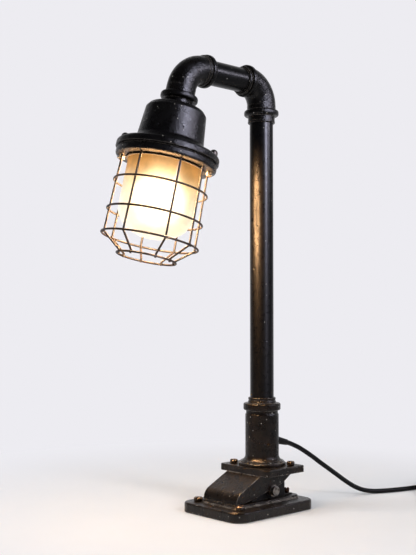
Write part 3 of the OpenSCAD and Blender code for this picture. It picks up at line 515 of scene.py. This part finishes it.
PIN_STEEL = bare_metal("dull_turned_steel", "#8b8681", "#56504b", 0.36)
ZINC_STEEL = bare_metal("zinc_plated_steel", "#b9b9b6", "#8f8d88", 0.3)
SCREW_STEEL = bare_metal("blackened_screw_steel", "#6f6862", "#3b3632", 0.42, 2.0, 0.38)
RUSTY_STEEL = bare_metal("rusted_screw_steel", "#6b4a38", "#3a2a22", 0.6, 1.6, 0.4)
DARK_NUT = bare_metal("blackened_nut_steel", "#2b2927", "#191716", 0.45)
BRASS = bare_metal("lampholder_brass", "#d9b064", "#a97f3e", 0.25)

# %% [markdown]
# ## Cage wire
# The guard is mild-steel rod, bent and spot-welded, then dipped in thin black paint. Its colour
# is browner and lighter than the cap's: painted warm light from the bulb beside it.

# %% Wire
def dipped_wire(name):
    material, tree, shader = start_material(name, {"Specular IOR Level": 0.3})
    # browner and lighter than the cap's black: painted warm light from the bulb
    dress(tree, shader, mottled(tree, 6, 0.4, 0.65, "#24170f", "#3f2a1b"),
          clouds(tree, 2, 3.0, 0.3, 0.7, 0.34, 0.5), noise_of(tree, 0.8, 3.0), 0.06)
    return material


WIRE = dipped_wire("dip_painted_mild_steel_wire")

# %% [markdown]
# ## Rubber, plastic and the lead's jacket
# Rubber is dark, dull and slightly dusty. The plastics and the woven strap are the same mix with
# their own colours, gloss and grain. The lead's jacket is extruded, so its faint lines run along
# it: its material reads the UV map, in which v is metres along the lead.

# %% Rubber and plastic
def dull_moulding(name, dark, dusty, rough, grain_mm):
    material, tree, shader = start_material(name, {"Specular IOR Level": 0.25})
    dress(tree, shader, mottled(tree, 8, 0.42, 0.7, dark, dusty),
          clouds(tree, 3, 3.0, 0.3, 0.7, rough - 0.06, rough + 0.1),
          noise_of(tree, grain_mm, 2.0), 0.05)
    return material


RUBBER = dull_moulding("black_moulded_rubber", "#080808", "#100f0f", 0.62, 0.5)
GLAND = dull_moulding("black_nylon_gland", "#0e0e0e", "#161616", 0.45, 0.8)
HOUSING = dull_moulding("black_thermoset_housing", "#141414", "#1b1b1b", 0.38, 0.45)
ROCKER = dull_moulding("black_gloss_rocker", "#0c0c0c", "#121212", 0.22, 1.5)
STRAP = dull_moulding("woven_nylon_strap", "#101113", "#1d1e20", 0.8, 0.35)


# %% Jacket of the lead
def extruded_jacket(name):
    material, tree, shader = start_material(name, {"Specular IOR Level": 0.16})
    uv = add(tree, "ShaderNodeUVMap", uv_map="along").outputs[0]
    # 16 faint lines round the lead, each 30 mm long or so
    stretched = add(tree, "ShaderNodeMapping", {"Vector": uv, "Scale": (16.0, 35.0, 1.0)})
    lines = add(tree, "ShaderNodeTexNoise",
                {"Vector": stretched.outputs[0], "Scale": 1.0, "Detail": 3.0}).outputs[0]
    rough = add(tree, "ShaderNodeMapRange",
                {"Value": lines, "From Min": 0.3, "From Max": 0.7, "To Min": 0.36,
                 "To Max": 0.52}, interpolation_type="SMOOTHSTEP").outputs[0]
    dress(tree, shader, mottled(tree, 12, 0.42, 0.72, "#08080a", "#101011"), rough, lines, 0.08)
    return material


JACKET = extruded_jacket("black_pvc_jacket")
print("with metals, rubber and plastic:", len(bpy.data.materials))

# %% [markdown]
# ## Porcelain, frosted jar glass and the lit bulb
# The jar is pressed glass, etched inside, so that the bulb shows through it as a soft glow. The
# light scattered in the frosting is drawn as a faint emission that runs from amber under the
# cap, where the lampholder shades it, to cream. The rest goes through a rough refraction, which
# blurs the bulb. The bulb's own globe is opal glass, and bright enough to clip to white.

# %% Where a point lies down the head's axis
HEAD_AT = (-0.093, 0, 0.479)  # the middle of the head elbow, where the head's axis starts
HEAD_ROLL = Matrix.Translation(HEAD_AT) @ Matrix.Rotation(math.radians(3.5), 4, "X")
HEAD = HEAD_ROLL @ Matrix.Rotation(math.radians(11.8), 4, "Y")
HEAD_DOWN = (HEAD.to_3x3() @ Vector((0, 0, -1))).normalized()


def down_head(tree, start, end, least=0.0, most=1.0):
    """A soft step between two places down the head's axis, in metres from the elbow."""
    place = add(tree, "ShaderNodeTexCoord").outputs["Object"]
    there = add(tree, "ShaderNodeVectorMath", {0: place, 1: HEAD_AT},
                operation="SUBTRACT").outputs[0]
    depth = add(tree, "ShaderNodeVectorMath", {0: there, 1: tuple(HEAD_DOWN)},
                operation="DOT_PRODUCT").outputs["Value"]
    return add(tree, "ShaderNodeMapRange",
               {"Value": depth, "From Min": start, "From Max": end, "To Min": least,
                "To Max": most}, interpolation_type="SMOOTHSTEP").outputs[0]


# %% Glass
JAR_MOUTH, JAR_END = 0.100, 0.192  # metres down the head's axis
GLOW = ((0.0, "#b97a38"), (0.13, "#e3a55c"), (0.3, "#ffd698"), (0.7, "#fff0d4"), (1.0, "#ffeccb"))


def frosted_glass(name):
    """The glow runs from the jar's mouth to its end, and is thickest near the mouth."""
    material, tree, shader = start_material(name, {
        "Base Color": paint_colour("#fff6e6"), "Transmission Weight": 1.0, "Roughness": 0.78,
        "IOR": 1.2, "Coat Weight": 0.7, "Coat Roughness": 0.08})
    ramp = add(tree, "ShaderNodeValToRGB", {0: down_head(tree, JAR_MOUTH, JAR_END)})
    band = ramp.color_ramp
    while len(band.elements) < len(GLOW):
        band.elements.new(0.5)
    for element, (at, text) in zip(band.elements, GLOW):
        element.position, element.color = at, paint_colour(text)
    streaks = clouds(tree, 14, 3.0, 0.3, 0.72, 0.7125, 1.045)
    glow = add(tree, "ShaderNodeEmission", {"Color": ramp.outputs[0], "Strength": streaks})
    mix = add(tree, "ShaderNodeMixShader", {0: down_head(tree, 0.110, 0.140, 0.85, 0.45),
                                            1: shader.outputs[0], 2: glow.outputs[0]})
    tree.links.new(mix.outputs[0], surface(tree))
    return material


JAR = frosted_glass("frosted_pressed_glass")


def lit_glass(name, colour, strength):
    material, tree, shader = start_material(name, {
        "Base Color": paint_colour("#fff4e0"), "Roughness": 0.3,
        "Emission Color": paint_colour(colour)})
    tree.links.new(clouds(tree, 12, 2.0, 0.3, 0.7, 0.9 * strength, 1.1 * strength),
                   shader.inputs["Emission Strength"])
    return material


OPAL = lit_glass("lit_opal_glass", "#ffe6bd", 9.0)
FILAMENT = lit_glass("white_hot_filament", "#fff3d6", 20.0)


def clear_glass(name):
    material, tree, shader = start_material(name, {"Transmission Weight": 1.0, "IOR": 1.5})
    tree.links.new(clouds(tree, 4, 2.0, 0.3, 0.7, 0.02, 0.08), shader.inputs["Roughness"])
    return material


CLEAR = clear_glass("clear_stem_glass")


def glazed_porcelain(name):
    material, tree, shader = start_material(name)
    tree.links.new(mottled(tree, 10, 0.4, 0.7, "#e9e5da", "#d8d1c2", 3.0),
                   shader.inputs["Base Color"])
    tree.links.new(clouds(tree, 3, 2.0, 0.3, 0.7, 0.12, 0.25), shader.inputs["Roughness"])
    return material


PORCELAIN = glazed_porcelain("glazed_porcelain")
print("with glass and porcelain:", len(bpy.data.materials))

# %% [markdown]
# ## Handing out the finishes
# A CAD node keeps its mesh. Only its material slots are filled.

# %% Assign the finishes to the CAD nodes
FINISHES = {
    CAST_IRON: ("column_elbow", "head_elbow"),
    BASE_IRON: ("base_plate", "tilt_bracket", "coupling"),
    HOOD_IRON: ("cap", "cage_ring"),
    HINGE_IRON: ("hinge_block",),
    PIPE: ("column_pipe", "arm_nipple"),
    PIN_STEEL: ("hinge_pin", "pin_washers", "pin_clip"),
    ZINC_STEEL: ("flange_nuts", "cap_locknut", "head_nipple", "plug_pins", "switch_screws"),
    SCREW_STEEL: ("base_screws", "plate_screws", "flange_bolts"),
    RUSTY_STEEL: ("block_screws",),
    DARK_NUT: ("foot_locknut",),
    BRASS: ("holder_shell", "bulb_base"),
    WIRE: ("cage_ribs", "cage_hoops", "cage_end_hoop"),
    RUBBER: ("base_pad", "cord_boot", "cap_gasket", "glass_gasket", "plug_boot"),
    GLAND: ("gland_nut",),
    HOUSING: ("switch_base", "switch_cover", "plug_body"),
    ROCKER: ("switch_rocker",),
    PORCELAIN: ("lampholder",),
    JAR: ("glass_jar",),
    OPAL: ("bulb_globe",),
    CLEAR: ("bulb_stem",),
    FILAMENT: ("bulb_filament",),
    JACKET: ("cord_lead", "cord_coil", "cord_tail", "cord_end", "lead_lower", "lead_upper",
             "lead_head"),
    STRAP: ("cord_tie",),
}


def give(piece, material):
    if not piece.data.materials:
        piece.data.materials.append(material)
    for slot in piece.material_slots:
        slot.material = material


for material, names in FINISHES.items():
    for name in names:
        give(nodes[name], material)
unpainted = sorted(set(nodes) - {n for names in FINISHES.values() for n in names})
print("finishes:", len(FINISHES), "nodes without one:", unpainted)
give(lead, JACKET)

# %% [markdown]
# ## Welds on the cage
# Each rib is spot-welded to each hoop. A weld is a small lump a little wider than the wire.
# Depths are down the head's axis and radii from it, in millimetres.

# %% Welds
WIRE_D, BEAD_R = 2.2, 1.25
HOOPS_AT = (134.3, 165.3, 191.1)
END_HOOP = (30.0, 208.6)  # radius and depth
RIBS, BENT_RIB = 8, 5  # how many, and the one that stands out of line
RIB_TURN, RIB_DRIFT = 17, 7.5  # degrees round the axis: the first rib's turn, the bent one's drift
RIB_TOP, RIB_LOW = (46.2, 107.8), (48.7, 191)  # radius and depth


def rib_radius(depth):
    """How far a rib's middle line is from the head's axis at that depth."""
    share = (depth - RIB_TOP[1]) / (RIB_LOW[1] - RIB_TOP[1])
    return RIB_TOP[0] + (RIB_LOW[0] - RIB_TOP[0]) * share


bead_tree = ring_of_beads_tree()
rows = [(rib_radius(depth) + WIRE_D / 2, depth) for depth in HOOPS_AT] + [END_HOOP]
for i, (radius, depth) in enumerate(rows):
    piece = made_by_tree("cage_welds_%d" % (i + 1), bead_tree, HEAD, count=RIBS,
                         radius=radius * MM, depth=depth * MM, turn=math.radians(RIB_TURN),
                         odd_one=BENT_RIB, drift=math.radians(RIB_DRIFT), bead=BEAD_R * MM,
                         seed=i, material=WIRE)
    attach(piece, "head")

# %% [markdown]
# ## Grip ribs on the plug's sleeve
# The sleeve behind the plug is moulded with rings that let it flex without kinking. The same
# rule as above, but each copy is a whole ring, set out along the sleeve's axis.

# %% Tree for rings along an axis
def rings_along_tree():
    tree, ins = start_tree("rings_along", (
        ("Count", "Int", 4), ("Pitch", "Float", 0.003), ("Radius", "Float", 0.004),
        ("Growth", "Float", 0.0), ("Ridge", "Float", 0.0006)))
    step = add(tree, "ShaderNodeCombineXYZ", {"Z": ins["Pitch"]}).outputs[0]
    line = add(tree, "GeometryNodeMeshLine", {"Count": ins["Count"], "Offset": step})
    circle = add(tree, "GeometryNodeCurvePrimitiveCircle", {"Resolution": 32, "Radius": 1.0})
    index = add(tree, "GeometryNodeInputIndex").outputs[0]
    radius = add(tree, "ShaderNodeMath", {0: index, 1: ins["Growth"], 2: ins["Radius"]},
                 operation="MULTIPLY_ADD").outputs[0]
    size = add(tree, "ShaderNodeCombineXYZ", {"X": radius, "Y": radius, "Z": 1.0}).outputs[0]
    copies = add(tree, "GeometryNodeInstanceOnPoints",
                 {"Points": line.outputs[0], "Instance": circle.outputs[0], "Scale": size})
    real = add(tree, "GeometryNodeRealizeInstances", {"Geometry": copies.outputs[0]}).outputs[0]
    ridge = add(tree, "GeometryNodeCurvePrimitiveCircle",
                {"Resolution": 10, "Radius": ins["Ridge"]})
    tubes = add(tree, "GeometryNodeCurveToMesh", {"Curve": real, "Profile Curve": ridge.outputs[0]})
    return end_tree(tree, tubes.outputs[0], ins["Material"])


SLEEVE_AT = (0.2428, -0.078, 0.0195)  # the first ring, in metres
sleeve_place = Matrix.Translation(SLEEVE_AT) @ Matrix.Rotation(math.pi / 2, 4, "Y")
sleeve_ribs = made_by_tree("plug_sleeve_ribs", rings_along_tree(), sleeve_place, count=5,
                           pitch=2.6 * MM, radius=3.4 * MM, growth=0.34 * MM, ridge=0.7 * MM,
                           material=RUBBER)
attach(sleeve_ribs, "foot")

# %% [markdown]
# ## The end of the lead
# The short end runs from the switch to the plug in one loose bend.

# %% End length with the plug
end = round_tube("end_cord", end_line, CORD_D / 2)
give(end, JACKET)
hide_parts("cord_end")
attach(end, "foot")
print("end declared:", round(line_length(end_line), 2), "m")

# %% [markdown]
# ## The wires inside
# The same flex goes up inside the column and down to the lampholder. Each stretch belongs to the
# body that it runs in, and joins the next one where the two bodies turn on each other.

# %% Inner leads
INNER_R = 2.34 * MM
COLUMN_X, SWIVEL_Z, ARM_Z = 22, 94, 479
BEND_R = 25  # of the lead in the column elbow
HEAD_BEND_R, HEAD_BEND_X = 29, 23.57  # of the lead in the head elbow, and where that bend starts


def head_bend(degrees):
    a = math.radians(degrees)
    return HEAD_ROLL @ (Vector((HEAD_BEND_X - HEAD_BEND_R * math.sin(a), 0,
                                -HEAD_BEND_R * (1 - math.cos(a)))) * MM)


def column_bend(degrees):
    a = math.radians(degrees)
    return (COLUMN_X - BEND_R * (1 - math.cos(a)), 0, ARM_Z - BEND_R * (1 - math.sin(a)))


lower = to_metres([(36.85, 0, 74), (32, 0, 75), (27.5, 0, 77.5), (24, 0, 82), (22.3, 0, 87),
                   (COLUMN_X, 0, SWIVEL_Z - 0.1)])
upper = to_metres([(COLUMN_X, 0, z) for z in (SWIVEL_Z + 0.1, 180, 300, 420)]
                  + [column_bend(a) for a in range(0, 91, 15)] + [(-63, 0, ARM_Z)])
down = ([HEAD_ROLL @ Vector((30 * MM, 0, 0))] + [head_bend(a) for a in range(0, 79, 10)]
        + [HEAD @ Vector((0, 0, -s * MM)) for s in (34, 50, 63)])
for name, line, body in (("lead_lower", lower, "bracket"), ("lead_upper", upper, "column"),
                         ("lead_head", down, "head")):
    inner = round_tube("inner_" + name, smooth_line(line, 4), INNER_R, 12)
    give(inner, JACKET)
    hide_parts(name)
    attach(inner, body)
    print(inner.name, "rides on", body)

# %% [markdown]
# ## The strap that ties the coil
# A hook-and-loop strap goes once round the bundle and laps over itself on top.

# %% Strap
STRAP_W, STRAP_T = 6 * MM, 0.8 * MM
STRAP_TURN = 8  # degrees about Z
BUNDLE_IN, BUNDLE_OUT, BUNDLE_HIGH, STRAP_R = 19.4, 46.3, 13.3, 3.0  # mm from the coil's centre


def strap_line():
    """Middle line of the strap in its own plane: over the top, round and over the top again."""
    low, high, r = 0.45, BUNDLE_HIGH - 0.85, STRAP_R
    left, right = BUNDLE_IN + 0.4, BUNDLE_OUT - 0.4
    middle = (left + right) / 2
    line = [(middle, high)]
    for cx, cz, start in ((right - r, high - r, 90), (right - r, low + r, 0),
                          (left + r, low + r, -90), (left + r, high - r, 180)):
        line += [(cx + r * math.cos(math.radians(start - 15 * k)),
                  cz + r * math.sin(math.radians(start - 15 * k))) for k in range(7)]
    lap = [(left + r + 4, high + 0.1), (middle - 3, high + 0.75), (middle + 1, high + 0.82),
           (middle + 8, high + 0.82)]
    return line + lap


strap_place = (Matrix.Translation((COIL_CENTRE[0] * MM, COIL_CENTRE[1] * MM, 0))
               @ Matrix.Rotation(math.radians(STRAP_TURN), 4, "Z"))
strap_points = [strap_place @ Vector((x * MM, 0, z * MM)) for x, z in strap_line()]
side = (strap_place.to_3x3() @ Vector((0, 1, 0))).normalized()


def flat_band(name, line, across, width, thick):
    """A flat band along line, with rounded edges. across is the direction of its width."""
    section = [(-0.5, 0.2), (-0.42, 0.5), (0.42, 0.5), (0.5, 0.2), (0.5, -0.2), (0.42, -0.5),
               (-0.42, -0.5), (-0.5, -0.2)]
    rings = []
    for i, p in enumerate(line):
        up = heading_at(line, i).cross(across).normalized()
        rings.append([p + across * (x * width) + up * (z * thick) for x, z in section])
    return skin(name, rings)


strap = flat_band("coil_strap", strap_points, side, STRAP_W, STRAP_T)
give(strap, STRAP)
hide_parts("cord_tie")
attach(strap, "foot")
print("strap:", len(strap.data.polygons), "faces")

# %% [markdown]
# ## Studio
# A pale sweep stands behind the lamp. A soft box on the right and one on the left light its matt
# surfaces. Two more lamps on the right show only in gloss: a wide one draws the bright edges, and
# a tall one the streaks on the pipes. Seen straight, in gloss and through glass, the world is the
# pale sweep. In gloss it is dimmer on the camera's side, as in a studio whose white paper hangs
# only behind the object.

# %% World
def towards_sweep(tree, place, start, end, least, most):
    """A soft step along the camera's heading, between two places on it."""
    ahead = add(tree, "ShaderNodeVectorMath", {0: place, 1: AHEAD},
                operation="DOT_PRODUCT").outputs["Value"]
    return add(tree, "ShaderNodeMapRange",
               {"Value": ahead, "From Min": start, "From Max": end, "To Min": least,
                "To Max": most}, interpolation_type="SMOOTHSTEP").outputs[0]


def studio_world():
    world = bpy.data.worlds.new("studio")
    bpy.context.scene.world = world
    world.use_nodes = True
    tree = world.node_tree
    tree.nodes.clear()
    path = add(tree, "ShaderNodeLightPath").outputs
    way = add(tree, "ShaderNodeTexCoord").outputs["Generated"]
    level = towards_sweep(tree, way, 0.2, 0.95, 0.02, 0.85)
    sweep, light, paper = (
        add(tree, "ShaderNodeBackground", {"Color": colour, "Strength": strength}).outputs[0]
        for colour, strength in ((paint_colour("#f3f2f6"), level), ((0.94, 0.97, 1.0, 1), 0.5),
                                 (paint_colour("#edecf1"), 1.0)))
    lit = add(tree, "ShaderNodeMixShader", {0: path["Is Glossy Ray"], 1: light, 2: sweep})
    straight = add(tree, "ShaderNodeMath",
                   {0: path["Is Camera Ray"], 1: path["Is Transmission Ray"]}, operation="MAXIMUM")
    whole = add(tree, "ShaderNodeMixShader",
                {0: straight.outputs[0], 1: lit.outputs[0], 2: paper})
    add(tree, "ShaderNodeOutputWorld", {"Surface": whole.outputs[0]})
    print("world:", world.name)


studio_world()


# %% Lamps
def add_lamp(name, kind, place, watts, colour):
    """A lamp that the camera doesn't see."""
    data = bpy.data.lights.new(name, kind)
    data.energy = watts
    data.color = paint_colour(colour)[:3]
    lamp = bpy.data.objects.new(name, data)
    bpy.context.scene.collection.objects.link(lamp)
    lamp.location = place
    lamp.visible_camera = False
    return lamp


def soft_light(name, place, target, size, watts, colour):
    """A flat lamp of that size, turned to the target."""
    lamp = add_lamp(name, "AREA", place, watts, colour)
    lamp.data.shape = "RECTANGLE"
    lamp.data.size, lamp.data.size_y = size
    lamp.rotation_euler = (Vector(target) - Vector(place)).to_track_quat("-Z", "Y").to_euler()
    return lamp


right = soft_light("right_softbox", (0.06, -1.7, 1.0), (0, 0, 0.1), (0.5, 0.5), 14, "#fdfcff")
left = soft_light("left_softbox", (-0.9, 0.7, 1.2), (0.05, 0, 0), (0.5, 0.5), 8, "#fffdfd")
rim = soft_light("edge_gleam", (0.85, -1.45, 0.95), (0, 0, 0.1), (0.8, 0.35), 16, "#f0ecff")
gleam = soft_light("window_gleam", (0.06, -1.7, 1.0), (0, 0, 0.4), (0.42, 0.95), 52, "#e6e6ff")


def bulb_light(name, watts, colour, radius, depth):
    """A round warm light where the bulb is, depth down the head. It moves with the head."""
    lamp = add_lamp(name, "POINT", HEAD @ Vector((0, 0, -depth)), watts, colour)
    lamp.data.shadow_soft_size = radius
    lamp.visible_transmission = False
    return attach(lamp, "head")


warm = bulb_light("bulb_light", 1.2, "#ffdeb4", radius=0.028, depth=0.145)
bulb_lamp = bulb_light("bulb_gleam", 33.0, "#ffc488", radius=0.02, depth=0.137)
ring_lamp = bulb_light("bulb_gleam_on_ring", 12.0, "#ffc488", radius=0.033, depth=0.15)

# Some lamps light only matt surfaces, and the others only show in gloss
for lamp in (right, left, warm):
    lamp.visible_glossy = False
for lamp in (rim, gleam, bulb_lamp, ring_lamp):
    lamp.visible_diffuse = False
GLOWING = ("glass_jar", "bulb_globe", "bulb_filament", "bulb_stem")
CAGE_TOP = ("cage_ring", "glass_gasket")
for name in GLOWING:
    nodes[name].visible_shadow = False
    nodes[name].visible_diffuse = False
print("bulb light at", tuple(round(v, 3) for v in bulb_lamp.location))

# %% [markdown]
# ## Floor
# A matt white sheet. It takes the lamp's shadow and the warm pool under the head, and fades
# into the sweep's own colour further out, so there is no horizon.

# %% Floor
def floor_disc(radius, sides=96):
    bm = bmesh.new()
    bmesh.ops.create_circle(bm, cap_ends=True, radius=radius, segments=sides)
    return piece_of(bm, "floor")


def floor_paper():
    material, tree, shader = start_material("matt_white_paper", {"Roughness": 0.9,
                                                                "Specular IOR Level": 0.1})
    tree.links.new(mottled(tree, 60, 0.3, 0.7, "#f0eff0", "#efeeef", 3.0),
                   shader.inputs["Base Color"])
    place = add(tree, "ShaderNodeTexCoord").outputs["Object"]
    far = add(tree, "ShaderNodeVectorMath", {0: place}, operation="LENGTH").outputs["Value"]
    fade = add(tree, "ShaderNodeMapRange", {"Value": far, "From Min": 0.14, "From Max": 0.55},
               interpolation_type="SMOOTHSTEP").outputs[0]
    gloss = add(tree, "ShaderNodeLightPath").outputs["Is Glossy Ray"]
    dim = add(tree, "ShaderNodeMath",
              {0: towards_sweep(tree, place, 1.2, -0.2, 0.1, 0.85), 1: gloss},
              operation="MULTIPLY").outputs[0]
    level = add(tree, "ShaderNodeMath", {0: 1.0, 1: dim}, operation="SUBTRACT").outputs[0]
    sky = add(tree, "ShaderNodeEmission", {"Color": paint_colour("#edecf1"), "Strength": level})
    mix = add(tree, "ShaderNodeMixShader", {0: fade, 1: shader.outputs[0], 2: sky.outputs[0]})
    tree.links.new(mix.outputs[0], surface(tree))
    return material


floor = floor_disc(6.0)
give(floor, floor_paper())
print("floor:", len(floor.data.vertices), "corners")

# %% [markdown]
# ## What the lamps light
# The jar and the bulb have a glow of their own, so the bulb's lamps leave them out. The cage's
# ring is right beside the bulb, so it has a weaker lamp of its own. The tall window is for the
# pipes and the head, and would burn out on the base's flat faces.

# %% What the lamps light
def light_only(lamp, name, pieces):
    """The lamp lights these pieces and nothing else."""
    lit = bpy.data.collections.new(name)
    for piece in pieces:
        lit.objects.link(piece)
    lamp.light_linking.receiver_collection = lit


meshes = [o for o in bpy.context.scene.objects if o.type == "MESH"]
light_only(warm, "lit_by_bulb", [o for o in meshes if o.name not in GLOWING])
light_only(bulb_lamp, "gleaming_from_bulb",
           [o for o in meshes if o.name not in GLOWING + CAGE_TOP])
light_only(ring_lamp, "ring_gleaming_from_bulb", [nodes[name] for name in CAGE_TOP])
light_only(gleam, "gleaming_from_window",
           [o for o in meshes if o.get("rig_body") in ("column", "head")])

# %% View settings
bpy.context.scene.view_settings.view_transform = "Standard"
